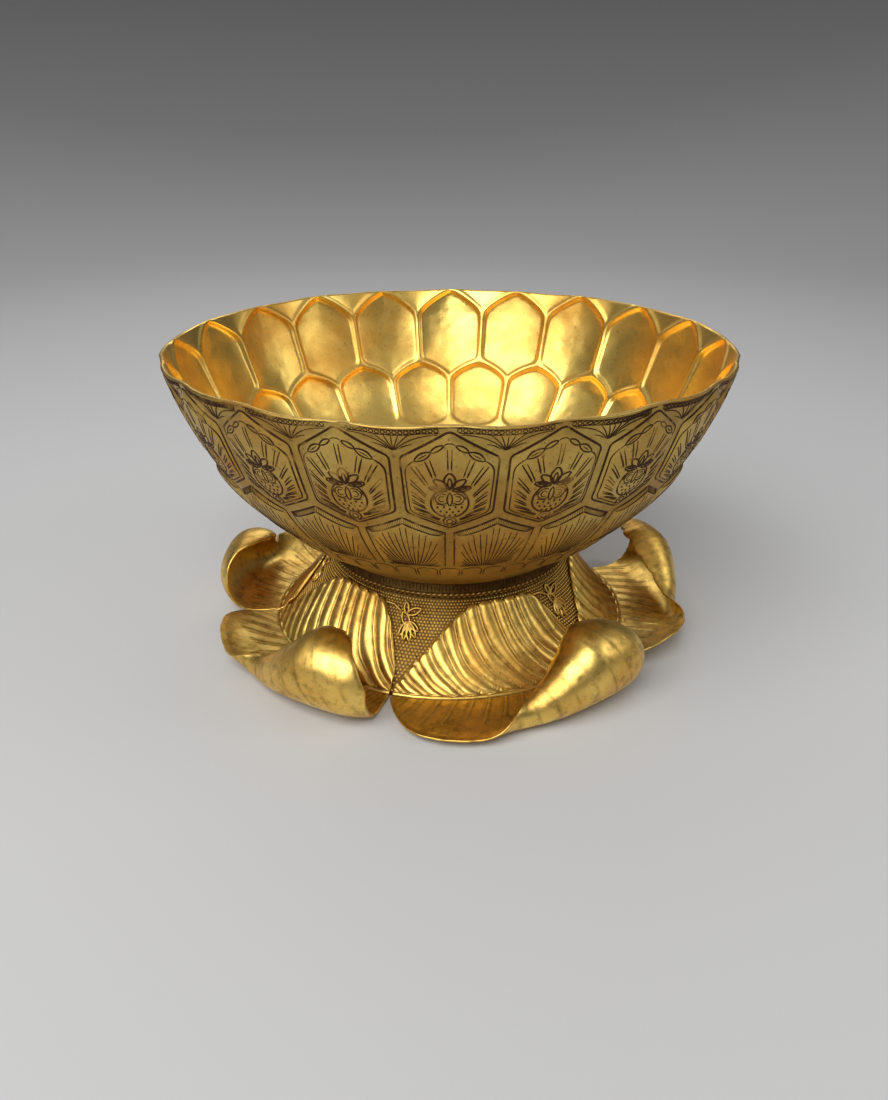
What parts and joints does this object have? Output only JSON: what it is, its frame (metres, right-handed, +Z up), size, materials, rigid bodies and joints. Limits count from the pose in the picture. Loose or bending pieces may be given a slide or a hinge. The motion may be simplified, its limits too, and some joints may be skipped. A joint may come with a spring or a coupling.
{
  "type": "footed bowl",
  "caption": "Round gilt bronze bowl with two rows of swelling lotus petals on a flared foot wrapped in curled lotus leaves.",
  "frame": {"origin": "on the surface that the bowl stands on, on the bowl's axis", "axes": "+Z up along the bowl's axis; the front in the picture faces -Y, with +X to its right"},
  "size_m": [0.1608, 0.1608, 0.088],
  "materials": {
    "gilt_bowl": "chased and gilded, softly worn",
    "gilt_foot": "ring-punched and gilded, darkened in the hollows",
    "gilt_leaf": "hammered, chased and gilded"
  },
  "bodies": {
    "root": {"bowl": "gilt_bowl", "neck_collar": "gilt_foot", "foot_ring": "gilt_foot", "leaf_front_right": "gilt_leaf", "leaf_front_left": "gilt_leaf", "leaf_left": "gilt_leaf", "leaf_back": "gilt_leaf", "leaf_right": "gilt_leaf"}
  },
  "joints": []
}
